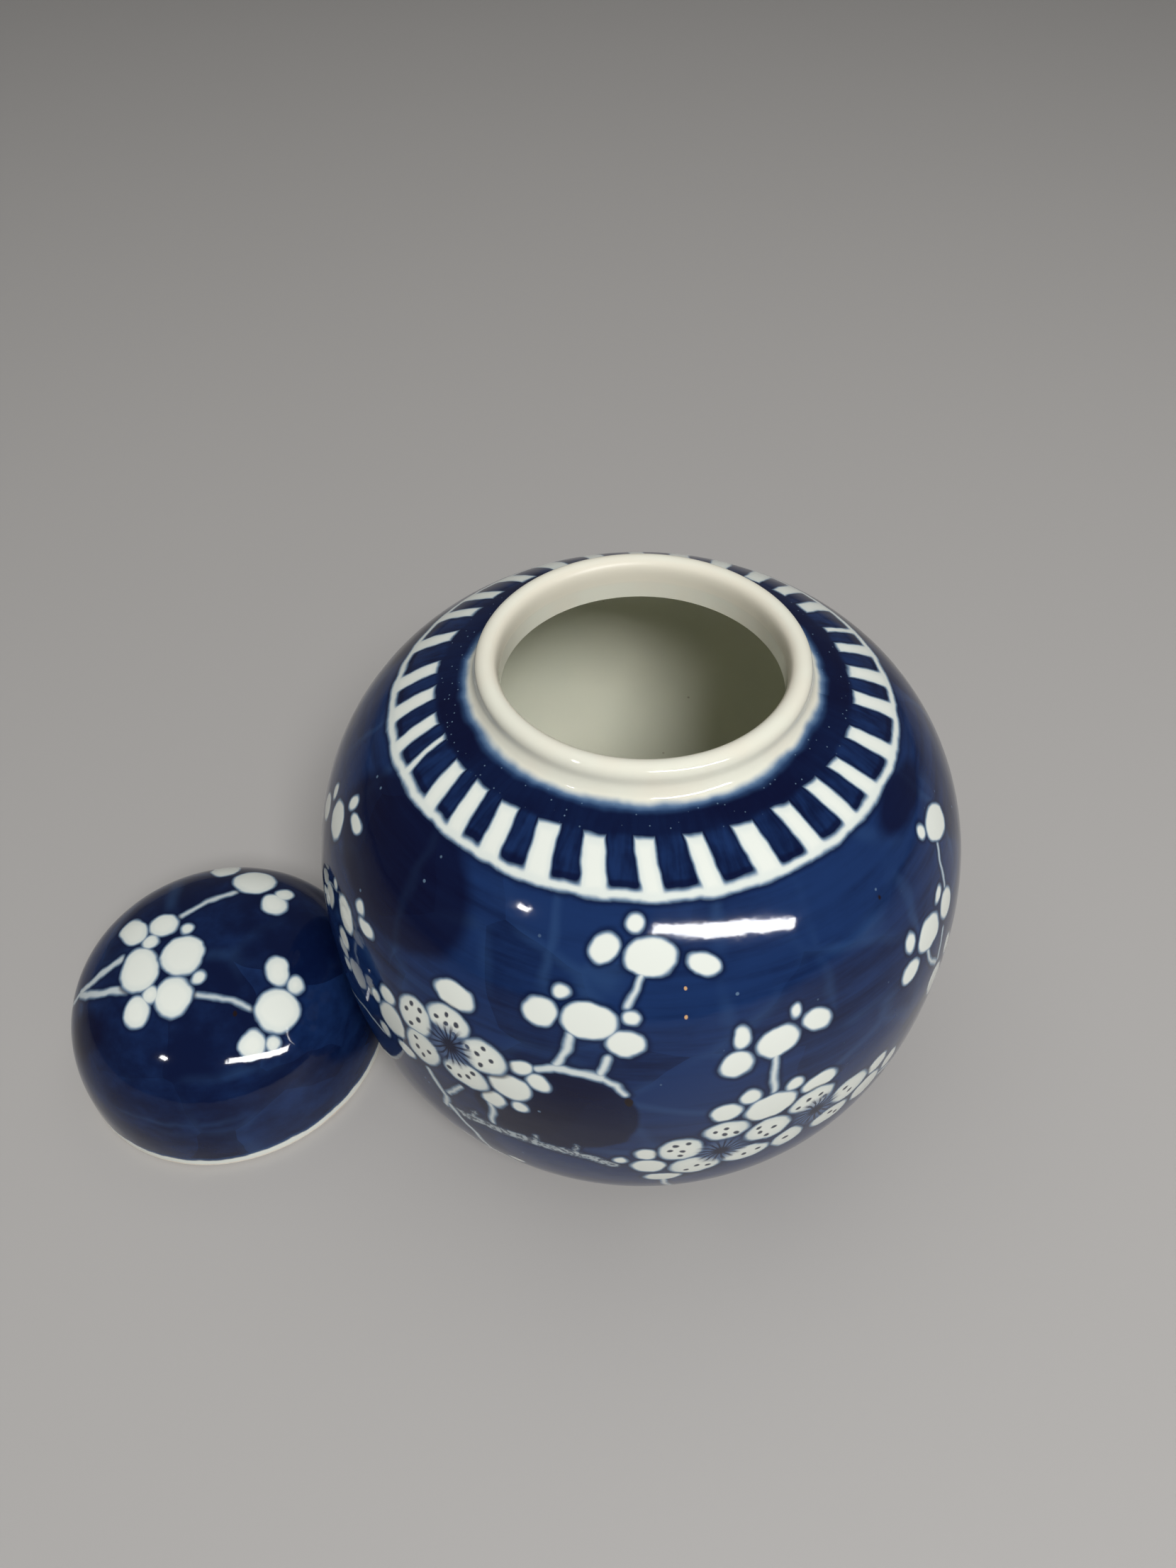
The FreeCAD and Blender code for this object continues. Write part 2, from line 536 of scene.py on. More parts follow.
def strokes(spot, lines, unit):
    """Distance to the nearest stroke, each a run of places with its half width."""
    def gaps():
        for half_width, places in lines:
            for (a0, u0), (a1, u1) in zip(places, places[1:]):
                start, end = Vector((a0 * unit, u0, 0.0)), Vector((a1 * unit, u1, 0.0))
                way = end - start
                share = tuple(way / way.length_squared)
                reached = spot.dot(share) - start.dot(share)
                reached.socket.node.use_clamp = True
                foot = reached.scaled(tuple(way)) + tuple(start)
                yield spot.join("DISTANCE", foot) - half_width

    return nearest(gaps())


# Where two petals meet, the white stops this far short of their seam
SEAM = 0.3

# Jar's painting. Places are degrees round from the front and millimetres up from the widest
# circle. An oval then has half its width in degrees, half its height, and its lean if it has one.
DEGREE = 1.3107
REPEAT_START = -97.0
REPEAT = 180.0

JAR_BUDS = [
    # upper spray
    (-0.1, 50.3, 1.7, 1.8), (-5.2, 45.5, 2.7, 2.75, 20), (2.8, 44.2, 4.6, 3.9),
    (11.8, 42.2, 3.0, 2.3, -25),
    # middle spray
    (-11.6, 36.0, 1.5, 1.6), (-14.7, 30.9, 2.85, 3.3, 15), (-6.65, 30.7, 4.65, 4.1),
    (-0.05, 32.2, 1.45, 1.65), (-0.95, 26.25, 3.1, 3.05),
    # round the left flower
    (-29.5, 26.6, 3.9, 3.1), (-43.2, 13.8, 1.9, 2.4), (-42.1, 6.9, 3.15, 4.9),
    (-46.1, 10.0, 1.2, 1.8), (-39.2, -0.2, 2.0, 2.2), (-44.9, -0.6, 1.5, 2.6),
    (-16.8, 15.6, 2.1, 2.0, 25), (-14.1, 12.6, 2.2, 2.3), (-18.8, 8.5, 3.45, 4.0),
    (-21.6, 1.8, 2.2, 3.1), (-17.1, 2.7, 1.5, 2.0), (-1.25, -13.1, 1.2, 1.6),
    # right spray
    (16.9, 25.6, 1.5, 2.7), (15.9, 19.3, 2.7, 3.3), (22.7, 22.5, 3.7, 3.7, 10),
    (29.7, 23.8, 2.7, 2.6, -30), (26.2, 27.9, 1.05, 1.6),
    # lower right cluster
    (14.7, 4.6, 2.55, 3.2), (18.5, 8.5, 1.7, 2.55), (22.1, 2.6, 4.4, 4.7),
    (25.6, 7.9, 1.6, 1.9), (30.4, 5.0, 3.45, 2.95), (44.5, -6.3, 2.4, 3.3),
    (43.4, -14.6, 3.4, 4.4), (2.7, -9.9, 1.8, 2.4), (3.1, -16.4, 3.0, 3.8),
    (5.7, -23.6, 3.2, 2.6), (49.0, -11.5, 1.9, 3.6),
    # right edge
    (50.9, 25.4, 1.35, 2.4), (50.3, 18.1, 2.6, 2.9, -20), (56.8, 22.0, 3.9, 4.0),
    (61.9, 27.2, 1.7, 1.4, 20), (64.4, 21.7, 2.6, 3.8, 20), (60.6, 1.6, 2.9, 5.6, 20),
    (65.4, 7.2, 1.7, 3.4, 20), (70.3, 38.1, 4.4, 3.9, -15), (64.8, 41.6, 1.4, 1.6),
    (66.2, -3.6, 2.1, 3.0, 20),
    # left edge
    (-69.0, 40.5, 1.5, 2.4, -30), (-64.5, 39.0, 2.7, 1.8, 10), (-71.2, 32.6, 3.6, 3.9, -30),
    (-77.7, 33.4, 1.4, 1.8), (-78.7, 27.0, 2.6, 3.2, 30), (-53.8, 27.5, 1.5, 1.6),
    (-50.7, 25.0, 2.5, 1.7), (-57.6, 21.0, 3.3, 3.4, -30), (-63.2, 22.6, 1.0, 1.2),
    (-65.0, 17.2, 2.3, 3.0, -30), (-57.3, 13.9, 2.2, 2.4),
    # low on the body
    (-63.0, -20.0, 3.4, 3.9), (-68.5, -16.5, 2.0, 2.4), (-68.3, -23.8, 2.2, 2.6),
    (-57.5, -23.8, 1.9, 2.2), (-58.2, -15.4, 1.6, 1.9), (-25.0, -35.0, 4.0, 4.1),
    (-31.0, -32.0, 2.2, 2.6), (-30.8, -39.4, 2.4, 2.3), (-18.9, -37.2, 2.2, 2.7),
    (-20.3, -30.0, 1.5, 1.7), (57.5, -30.0, 4.0, 4.0), (51.6, -27.4, 2.0, 2.3),
    (52.2, -34.3, 2.1, 2.4), (63.6, -31.6, 2.0, 2.8), (62.0, -25.2, 1.4, 1.6),
    (11.6, -44.0, 4.4, 3.8), (5.2, -41.6, 2.2, 2.4), (4.4, -47.6, 2.2, 2.1),
    (18.0, -46.4, 2.3, 2.6), (17.2, -40.0, 1.6, 1.8), (-82.0, -38.0, 4.2, 3.9),
    (-88.3, -36.0, 2.2, 2.5), (-76.2, -40.4, 2.2, 2.5), (-79.2, -32.6, 1.5, 1.8),
]

JAR_FLOWERS = [
    ((-29.3, 12.8), [
        (-30.0, 19.5, 3.9, 3.5), (-23.1, 14.6, 3.75, 4.3), (-26.5, 6.0, 3.9, 3.9),
        (-35.0, 6.1, 3.35, 4.7), (-36.6, 14.9, 3.45, 4.5)]),
    ((14.9, -11.7), [
        (15.1, -2.6, 3.55, 3.3), (8.1, -8.7, 3.3, 4.8), (22.4, -7.2, 3.7, 4.3),
        (10.7, -18.0, 3.9, 4.2), (19.4, -16.6, 4.0, 3.4)]),
    ((31.4, -8.2), [
        (29.95, -1.9, 3.9, 4.0), (38.1, -7.2, 3.7, 4.3), (27.0, -16.0, 2.6, 3.9),
        (35.3, -16.0, 3.6, 3.4)]),
    ((-78.5, 5.0), [
        (-79.5, 12.6, 3.6, 3.9), (-71.8, 8.2, 3.5, 4.2), (-73.4, -1.0, 3.5, 4.0),
        (-83.0, -2.2, 3.6, 4.0), (-86.0, 6.6, 3.3, 4.3)]),
]

# Dots of cobalt on the petals
JAR_DOTS = [
    (-32.3, 19.3), (-28.3, 19.7), (-30.5, 20.9), (-30.3, 18.5), (-28.5, 16.8), (-24.2, 14.8),
    (-21.9, 14.5), (-23.2, 17.2), (-23.5, 12.0), (-26.0, 15.5), (-26.0, 5.7), (-25.0, 7.8),
    (-29.7, 5.5), (-27.8, 4.2), (-36.3, 8.3), (-36.2, 5.4), (-33.5, 6.2), (-35.0, 3.6),
    (-37.4, 17.5), (-38.5, 15.4), (-35.5, 17.2), (-37.2, 11.9), (-35.8, 14.5),
    (13.4, -2.5), (15.3, -1.8), (15.0, -4.2), (17.0, -4.3), (21.0, -7.8), (23.4, -7.2),
    (22.2, -10.2), (20.5, -5.6), (7.2, -6.6), (6.4, -8.7), (8.3, -9.4), (9.1, -5.8),
    (8.0, -11.8), (11.0, -18.0), (13.0, -18.7), (9.4, -19.8), (19.2, -17.0), (21.6, -16.2),
    (29.1, -1.3), (31.4, -1.4), (27.6, -3.1), (32.5, -3.5), (37.0, -5.8), (38.5, -8.5),
    (26.5, -16.0), (35.3, -15.2), (36.6, -17.0), (-80.6, 13.0), (-78.2, 11.6), (-79.4, 14.6),
    (-71.6, 9.4), (-70.2, 7.4), (-73.0, -1.6), (-74.6, 0.2), (-83.8, -2.8), (-82.2, -0.8),
    (-86.8, 7.2), (-85.0, 5.8),
]

JAR_STEMS = [
    (0.75, [(1.5, 40.5), (0.1, 37.2), (-1.0, 34.6)]),
    (0.87, [(-9.5, 26.8), (-10.1, 23.0), (-11.3, 19.5)]),
    (0.9, [(-3.65, 22.4), (-4.4, 18.7)]),
    (1.05, [(-14.1, 16.5), (-11.6, 18.3), (-8.0, 17.9), (-4.4, 17.5)]),
    (0.75, [(-4.4, 17.5), (-2.0, 16.0), (-0.65, 13.4)]),
    (0.7, [(-22.1, -1.3), (-22.7, -9.6)]),
    (0.7, [(-34.5, -1.0), (-31.4, -9.2), (-32.4, -14.0)]),
    (0.6, [(-27.8, -0.2), (-30.8, -6.5)]),
    (0.74, [(22.3, 19.0), (22.1, 8.2)]),
    (0.6, [(55.7, 17.8), (57.2, 13.0), (59.5, 9.5)]),
    (0.5, [(62.1, 16.8), (60.4, 9.5)]),
    (0.5, [(67.5, 34.6), (65.9, 31.0), (65.0, 26.0)]),
    (0.6, [(-62.0, -16.4), (-59.0, -9.0), (-52.0, -3.0), (-46.0, -3.0)]),
    (0.7, [(-26.0, -31.0), (-27.5, -22.0), (-31.5, -13.0)]),
    (0.7, [(56.5, -26.0), (53.0, -19.0), (47.5, -16.0)]),
    (0.7, [(9.5, -40.5), (6.5, -32.0), (5.8, -26.0)]),
    (0.6, [(-80.5, -34.2), (-76.0, -24.0), (-69.5, -19.0)]),
]

JAR_BRANCH = [
    (1.5, [(-32.0, -14.5), (-26.0, -12.6), (-20.0, -11.6), (-12.0, -12.2), (-6.5, -13.4),
           (-2.5, -16.0)]),
    (0.75, [(-26.6, -12.0), (-25.8, -8.8)]),
    (0.75, [(-15.6, -12.0), (-15.1, -8.8)]),
    (0.75, [(-8.8, -12.5), (-8.4, -8.8)]),
]

# How dark the wash is, and how fine its brush marks are across and up
JAR_TONE, JAR_BRUSH = 0.72, (35.0, 35.0, 500.0)
LID_TONE, LID_BRUSH = 0.95, (90.0, 90.0, 160.0)

# Edges of the broad upright washes, and places painted nearly black
WASH_EDGES = (-83.0, -67.0, -45.0, -15.0, 14.2, 32.0, 52.5, 71.5)
# The broad dark place on the left is a painted reflection of a dark figure in front of the jar
JAR_DARK_PATCH_AND_REFLECTION = [
    (-50.0, 42.0, 22.0, 15.0), (66.0, 50.0, 12.0, 5.0),
]
# Painted reflection of a dark figure in front of the jar: ovals on the front, left of the middle,
# painted nearly black
JAR_FRONT_REFLECTION = [(-9.0, 4.5, 10.5, 13.0), (-15.0, 0.0, 10.0, 12.0), (-4.5, 8.0, 5.2, 6.2)]
BORDER_BARS = (
    (-93.0, 2.9), (-82.5, 2.9), (-72.0, 2.4), (-64.0, 1.1), (-52.5, 2.6), (-43.0, 2.6),
    (-33.0, 3.0), (-21.5, 3.2), (-9.5, 3.2), (2.6, 2.7), (14.8, 2.7), (27.3, 3.3), (39.0, 2.7),
    (50.5, 2.6), (60.5, 2.6), (73.0, 2.8),
)
BAR_SHARE = 0.88      # of the painted width that is left white
BAR_LEAN = 0.24
BAR_END = 66.0
BAND_START = 54.4
RING_HEIGHT = 55.25
RING_HALF_WIDTH = 1.0
NECK_START = 72.5
FOOT_END = -68.6
JAR_PINHOLES = [(8.3, 38.3, 0.24, 0.32), (8.3, 32.4, 0.26, 0.35)]
JAR_SPOTS = [(-0.4, 11.0, 0.65, 1.2), (47.0, 40.2, 0.3, 0.4)]

# Lid's painting. Places are millimetres across and up from the crown, along the surface.
LID_BUDS = [
    (-14.3, -7.6, 4.9, 6.1, 22), (-4.3, -3.8, 4.9, 5.6, 20), (-3.7, -15.1, 4.4, 5.0, 15),
    (-20.1, 4.3, 3.2, 5.0, 42), (-12.1, 5.6, 3.9, 3.1, -20), (-13.9, 0.6, 1.9, 1.9),
    (-5.3, 4.3, 1.3, 1.3), (1.3, -9.7, 1.5, 1.6), (-9.6, -14.6, 1.7, 2.1, 20),
    (-12.3, -18.8, 3.1, 3.7, 20), (6.6, 23.4, 5.3, 5.6), (-4.2, 31.0, 3.6, 6.0, 20),
    (15.4, 19.4, 1.9, 2.0), (13.8, 14.8, 3.1, 3.5, 20), (21.6, -15.6, 5.1, 5.2),
    (19.5, -5.8, 2.5, 3.6, 20), (24.5, -8.4, 1.9, 2.0), (17.4, -24.9, 2.7, 3.4, -10),
    (22.2, -23.6, 1.6, 1.7), (-54.0, -10.0, 4.4, 4.6), (-51.5, -16.4, 2.0, 2.2),
    (-53.0, -3.2, 2.3, 2.6), (-49.0, -5.6, 1.5, 1.7), (40.0, 18.0, 4.7, 4.8),
    (34.6, 21.4, 2.2, 2.5), (44.8, 13.4, 2.5, 2.6), (36.0, 12.6, 1.7, 1.9),
    (-18.5, 44.5, 4.5, 4.6), (-24.0, 42.0, 2.2, 2.4), (-14.6, 49.2, 2.0, 2.2),
    (-19.4, 38.2, 1.6, 1.7), (26.0, 44.0, 4.4, 4.6), (20.5, 41.0, 2.2, 2.3),
    (31.5, 41.0, 2.1, 2.4),
]
LID_STEMS = [
    (1.1, [(-33.5, -9.9), (-29.8, -9.3), (-20.9, -4.1)]),
    (1.1, [(-33.5, -10.4), (-30.0, -12.1), (-16.0, -13.0)]),
    (0.85, [(-8.2, 8.1), (-3.0, 13.5), (3.0, 17.6)]),
    (0.7, [(1.3, -14.5), (8.0, -14.8), (16.5, -16.8)]),
    (0.85, [(-50.0, -10.8), (-42.0, -11.4), (-33.5, -10.2)]),
    (0.7, [(37.5, 21.5), (33.5, 30.0), (28.5, 40.5)]),
    (0.7, [(-16.0, 41.0), (-9.5, 36.0)]),
]
LID_DARK = [(-30.0, -22.0, 9.0, 6.0), (38.0, 40.0, 9.0, 6.0, 20)]
LID_PAINT_END = 61.7   # from the crown; below it the lid is white
LID_SPOTS = [(11.9, -18.3, 0.55, 0.6)]


def wash(paint, colours, place, dark, edge, tone, brush):
    """The cobalt ground: brushed washes that overlap, thin at their edges, dark where they pool,
    and painted nearly black in the dark places given, which on the jar hold a painted reflection.
    """
    streaks = paint.noise(place * brush, 1.0, 4.0, 0.6)
    drift = paint.noise(place, 22.0, 2.0)
    mottle = paint.noise(place, 130.0, 3.0, 0.6)
    warped = place + paint.shake(place, 22.0, 18.0 * MM) + paint.shake(place, 75.0, 7.0 * MM)
    cells = {"Vector": warped * (38.0, 38.0, 62.0), "Scale": 1.0, "Randomness": 0.85}
    patch = paint.node("ShaderNodeTexVoronoi", {"feature": "F1"}, cells, "Color").channel(0)
    rims = {"feature": "DISTANCE_TO_EDGE"}
    border = paint.node("ShaderNodeTexVoronoi", rims, cells, "Distance")
    depth = streaks * 1.15 + drift * 0.6 + mottle * 0.3 + patch * 0.4 - tone
    ground = paint.mix(depth.step(0.0, 0.85), colours.cobalt_deep, colours.cobalt)
    thin = (1.0 - border.step(0.0, 0.11)) * paint.noise(place, 45.0).step(0.42, 0.66) * 0.3
    thin = thin.most((1.0 - edge.step(0.0, 2.6)) * paint.noise(place, 38.0).step(0.34, 0.64) * 0.42)
    ground = paint.mix(thin, ground, colours.cobalt_thin)
    # Nearly black in the dark places given; on the jar one of them is a painted reflection of a
    # dark figure in front of it
    black = (1.0 - (dark + (drift - 0.5) * 12.0).step(-3.0, 1.5)) * 0.8
    ground = paint.mix(black, ground, colours.cobalt_pooled_and_dark_reflection)
    return ground


def specks(paint, place, scale, size, chance):
    """Small round specks scattered at random, 1 inside one."""
    cells = {"Vector": place, "Scale": scale}
    around = paint.node("ShaderNodeTexVoronoi", {"feature": "F1"}, cells, "Distance")
    pick = paint.node("ShaderNodeTexVoronoi", {"feature": "F1"}, cells, "Color").channel(1)
    return (1.0 - around.step(size * 0.5, size)) * pick.step(1.0 - chance, 1.0 - chance + 0.02)


def lay(paint, colours, ground, gap, white, strength=1.0):
    """Lays white shapes on the ground: cobalt pools round them and runs into their edge."""
    ground = paint.mix((1.0 - gap.step(0.2, 1.6)) * 0.85, ground, colours.cobalt_deep)
    ground = paint.mix((1.0 - gap.step(-0.25, 0.6)) * 0.8 * strength, ground, colours.bleed)
    domed = paint.mix(gap.step(-2.3, -0.5) * 0.6, white, colours.edge)
    return paint.mix((1.0 - gap.step(-0.75, 0.12)) * strength, ground, domed)


def glaze_normal(paint, place, relief):
    """Uneven glaze: slow swells, a fine orange peel and faint rings from the wheel."""
    swell = paint.noise(place, 85.0, 1.0)
    peel = paint.noise(place, 620.0, 1.0)
    rings = paint.noise(place * (6.0, 6.0, 190.0), 1.0, 1.0)
    ripple = paint.noise(place, 270.0, 2.0)
    height = swell + ripple * 0.2 + peel * 0.03 + rings * 0.12
    return paint.node("ShaderNodeBump", {}, {"Strength": 1.0, "Distance": relief, "Height": height})


def finish_glaze(paint, place, colour, bare=0.0):
    """Glossy where glazed, and a little duller where the glaze was wiped off."""
    roughness = paint.noise(place, 40.0).step(0.3, 0.8, 0.05, 0.1) + bare * 0.3
    return paint.finish(colour, roughness, glaze_normal(paint, place, 0.16 * MM), 0.4)


def painted_jar(colours):
    """Cobalt and white painting under clear glaze, with the white neck and lip above it."""
    paint = Paint("cobalt_painted_glaze")
    place = paint.place()
    unrolled = paint.unrolled()
    spot = unrolled + paint.shake(place, 170.0, 1.7) + paint.shake(place, 420.0, 0.5)
    around = ((spot.part(0) - REPEAT_START * DEGREE).join("FLOORED_MODULO", REPEAT * DEGREE)
              + REPEAT_START * DEGREE)
    up = spot.part(1)
    spot = paint.node("ShaderNodeCombineXYZ", {}, {0: around, 1: up, 2: 0.0})

    wander = (around + (up - 50.0) * 0.03 + (paint.noise(place, 24.0) - 0.5) * 12.0
              + (paint.noise(place, 85.0) - 0.5) * 4.0)
    edge = nearest(abs(wander - azimuth * DEGREE) for azimuth in WASH_EDGES)
    below = up.step(18.0, 30.0)
    # Dark places in the ground; the broad one on the left is a painted reflection of a dark figure
    dark = paint.field("jar_dark_patch_and_reflection", spot, ovals, JAR_DARK_PATCH_AND_REFLECTION, DEGREE)
    colour = wash(paint, colours, place, dark, edge + (1.0 - below) * 3.0, JAR_TONE, JAR_BRUSH)

    # Painted reflection of a dark figure in front of the jar, painted nearly black in cobalt
    patch = paint.field("jar_front_reflection", spot, ovals, JAR_FRONT_REFLECTION, DEGREE)
    patch = patch + (paint.noise(place, 60.0) - 0.5) * 3.0
    colour = paint.mix((1.0 - patch.step(-0.9, 0.7)) * 0.85, colour, colours.cobalt_pooled_and_dark_reflection)
    flecks = specks(paint, place, 330.0, 0.15, 0.12) * 0.5
    colour = paint.mix(flecks, colour, colours.bleed)

    branch = paint.field("jar_branch", spot, strokes, JAR_BRANCH, DEGREE)
    grain = paint.noise(place, 900.0, 2.0).step(0.4, 0.6) * 0.45 + 0.12
    colour = lay(paint, colours, colour, branch + 0.1, colours.stem, grain)
    stems = paint.field("jar_stems", spot, strokes, JAR_STEMS, DEGREE)
    buds = paint.field("jar_buds", spot, ovals, JAR_BUDS, DEGREE)
    colour = lay(paint, colours, colour, stems.least(buds), colours.stem)
    colour = paint.mix(1.0 - buds.step(-0.9, -0.1), colour, colours.reserve)

    shapes = [petal for _, around_centre in JAR_FLOWERS for petal in around_centre]
    petals = paint.field("jar_petals", spot, petals_apart, shapes, DEGREE)
    colour = lay(paint, colours, colour, petals - 0.3, colours.reserve)
    touches = [(across, up, 0.6 / DEGREE, 0.62) for across, up in JAR_DOTS]
    dots = paint.field("jar_dots", spot, ovals, touches, DEGREE)
    colour = paint.mix((1.0 - dots.step(-0.2, 0.25)) * 0.93, colour, colours.cobalt_deep)

    near, petal_way = None, None
    for (azimuth, height), _ in JAR_FLOWERS:
        way = spot - (azimuth * DEGREE, height, 0.0)
        reach = way.length()
        if near is None:
            near, petal_way = reach, way
            continue
        closer = reach.join("LESS_THAN", near)
        ways = {0: closer, 4: petal_way, 5: way}
        petal_way = paint.node("ShaderNodeMix", {"data_type": "VECTOR"}, ways, 1)
        near = near.least(reach)
    turn = petal_way.part(1).join("ARCTAN2", petal_way.part(0))
    rays = (turn * 17.0 + paint.noise(place, 240.0) * 2.5).join("SINE")
    heart = 1.0 - (near + paint.noise(place, 420.0) * 2.2).step(4.6, 7.8)
    colour = paint.mix(heart * 0.65, colour, colours.heart)
    colour = paint.mix(heart * rays.step(-0.1, 0.75) * 0.9, colour, colours.cobalt_deep)
    colour = paint.mix((1.0 - near.step(1.0, 2.9)) * 0.9, colour, colours.cobalt_pooled_and_dark_reflection)

    holes = paint.field("jar_pinholes", spot, ovals, JAR_PINHOLES, DEGREE)
    colour = paint.mix(1.0 - holes.step(-0.1, 0.15), colour, colours.pinhole)
    spots = paint.field("jar_iron_spots", spot, ovals, JAR_SPOTS, DEGREE)
    colour = paint.mix(1.0 - spots.step(-0.2, 0.3), colour, colours.iron_dark)

    # Border: a white ring and white bars on a cobalt band, which ends softly at the neck
    band = up.step(BAND_START, BAND_START + 0.5)
    brushed = paint.noise(spot * (0.42, 0.1, 1.0), 1.0, 2.0) * 0.5
    brushed = brushed + paint.noise(place, 190.0, 3.0) * 0.5
    strip = paint.mix(brushed.step(0.3, 0.72) * 0.85, colours.cobalt_deep, colours.cobalt)
    leaning = around + (up - 60.0) * BAR_LEAN
    bars = nearest(abs(leaning - azimuth * DEGREE) - half_width * BAR_SHARE * DEGREE
                   for azimuth, half_width in BORDER_BARS)
    ends = up - BAR_END + (paint.noise(place, 120.0) - 0.5) * 1.6
    bars = bars.most(ends).most((BAND_START + 0.2) - up)
    ring = abs(up - RING_HEIGHT) - RING_HALF_WIDTH
    border = bars.join("SMOOTH_MIN", ring, 1.5)
    pooled = (1.0 - abs(up - (RING_HEIGHT + 2.05)).step(0.2, 1.1)) * 0.6
    corner = (1.0 - abs(up - (BAR_END - 0.4)).step(0.4, 1.5)) * (1.0 - bars.step(0.4, 1.3)) * 0.9
    strip = paint.mix(pooled.most(corner), strip, colours.cobalt_pooled_and_dark_reflection)
    top = up.step(BAR_END - 0.4, BAR_END + 1.4)
    strip = paint.mix(top * 0.8, strip, colours.cobalt_deep)
    mottled = paint.noise(place, 48.0, 2.0).step(0.45, 0.62) * top * 0.6
    strip = paint.mix(mottled, strip, colours.cobalt_pooled_and_dark_reflection)
    sparkle = specks(paint, place, 900.0, 0.2, 0.3) * top * 0.5
    strip = paint.mix(sparkle, strip, colours.bleed)
    colour = paint.mix(band, colour, strip)
    colour = lay(paint, colours, colour, border, colours.reserve)

    drift = (paint.noise(place, 42.0, 2.0) - 0.5) * 4.2
    soft = up + drift * (around.step(30.0, 75.0) * 0.9 + 0.5)
    thinned = soft.step(NECK_START - 1.9, NECK_START + 0.3) * 0.8
    colour = paint.mix(thinned, colour, colours.cobalt_thin)
    bled = soft.step(NECK_START - 0.9, NECK_START + 1.1) * 0.85
    colour = paint.mix(bled, colour, colours.bleed)
    warm = paint.mix(paint.noise(place, 90.0).step(0.35, 0.7), colours.neck, colours.neck_warm)
    colour = paint.mix(soft.step(NECK_START, NECK_START + 1.8), colour, warm)
    bare = unrolled.part(1).step(82.4, 84.0) * (1.0 - unrolled.part(1).step(88.0, 89.5))
    colour = paint.mix(bare * 0.8, colour, colours.lip)
    foot = 1.0 - (up + drift * 0.2).step(FOOT_END, FOOT_END + 1.2)
    colour = paint.mix(foot, colour, colours.reserve)
    return finish_glaze(paint, place, colour, bare)


def painted_lid(colours):
    """The lid's cobalt and white painting, which stops just short of the rim."""
    paint = Paint("cobalt_painted_lid_glaze")
    place = paint.place()
    unrolled = paint.unrolled()
    spot = unrolled + paint.shake(place, 170.0, 1.7) + paint.shake(place, 420.0, 0.5)
    reach = spot.length()
    edge = abs(reach - 47.0) + paint.noise(place, 30.0) * 3.0
    dark = paint.field("lid_dark_patches", spot, ovals, LID_DARK, 1.0)
    colour = wash(paint, colours, place, dark, edge, LID_TONE, LID_BRUSH)
    stems = paint.field("lid_stems", spot, strokes, LID_STEMS, 1.0)
    buds = paint.field("lid_buds", spot, ovals, LID_BUDS, 1.0) - 0.35
    colour = lay(paint, colours, colour, stems, colours.stem, 0.75)
    colour = lay(paint, colours, colour, buds, colours.reserve)
    spots = paint.field("lid_iron_spots", spot, ovals, LID_SPOTS, 1.0)
    colour = paint.mix(1.0 - spots.step(-0.2, 0.2), colour, colours.iron_dark)
    thinned = reach.step(LID_PAINT_END - 1.1, LID_PAINT_END + 0.1) * 0.6
    colour = paint.mix(thinned, colour, colours.cobalt_thin)
    colour = paint.mix(reach.step(LID_PAINT_END, LID_PAINT_END + 0.8), colour, colours.reserve)
    return finish_glaze(paint, place, colour)


def plain_glaze(colours):
    """Greenish glaze over bare porcelain, inside the jar and the lid and under the foot."""
    paint = Paint("inside_glaze")
    place = paint.place()
    cloud = paint.noise(place, 30.0, 3.0).step(0.3, 0.75)
    colour = paint.mix(cloud, colours.inside, colours.inside_pale)
    colour = paint.mix(specks(paint, place, 260.0, 0.12, 0.06) * 0.7, colour, colours.speck)
    roughness = paint.noise(place, 40.0).step(0.3, 0.8, 0.1, 0.2)
    return paint.finish(colour, roughness, glaze_normal(paint, place, 0.22 * MM))


def bare_porcelain(colours):
    """Unglazed porcelain, a little gritty, warmer where the glaze stops."""
    paint = Paint("bare_porcelain")
    place = paint.place()
    grain = paint.noise(place, 1400.0, 3.0, 0.7)
    stain = paint.noise(place, 70.0, 3.0, 0.6).step(0.45, 0.75)
    colour = paint.mix(grain.step(0.3, 0.7) * 0.5, colours.biscuit, colours.grit)
    colour = paint.mix(stain * 0.3, colour, colours.iron)
    height = grain + paint.noise(place, 300.0, 2.0)
    bump = {"Strength": 0.6, "Distance": 0.1 * MM, "Height": height}
    normal = paint.node("ShaderNodeBump", {}, bump)
    return paint.finish(colour, grain.step(0.2, 0.8, 0.62, 0.82), normal)


# Pieces

def settings():
    return bpy.context.scene.ginger_jar


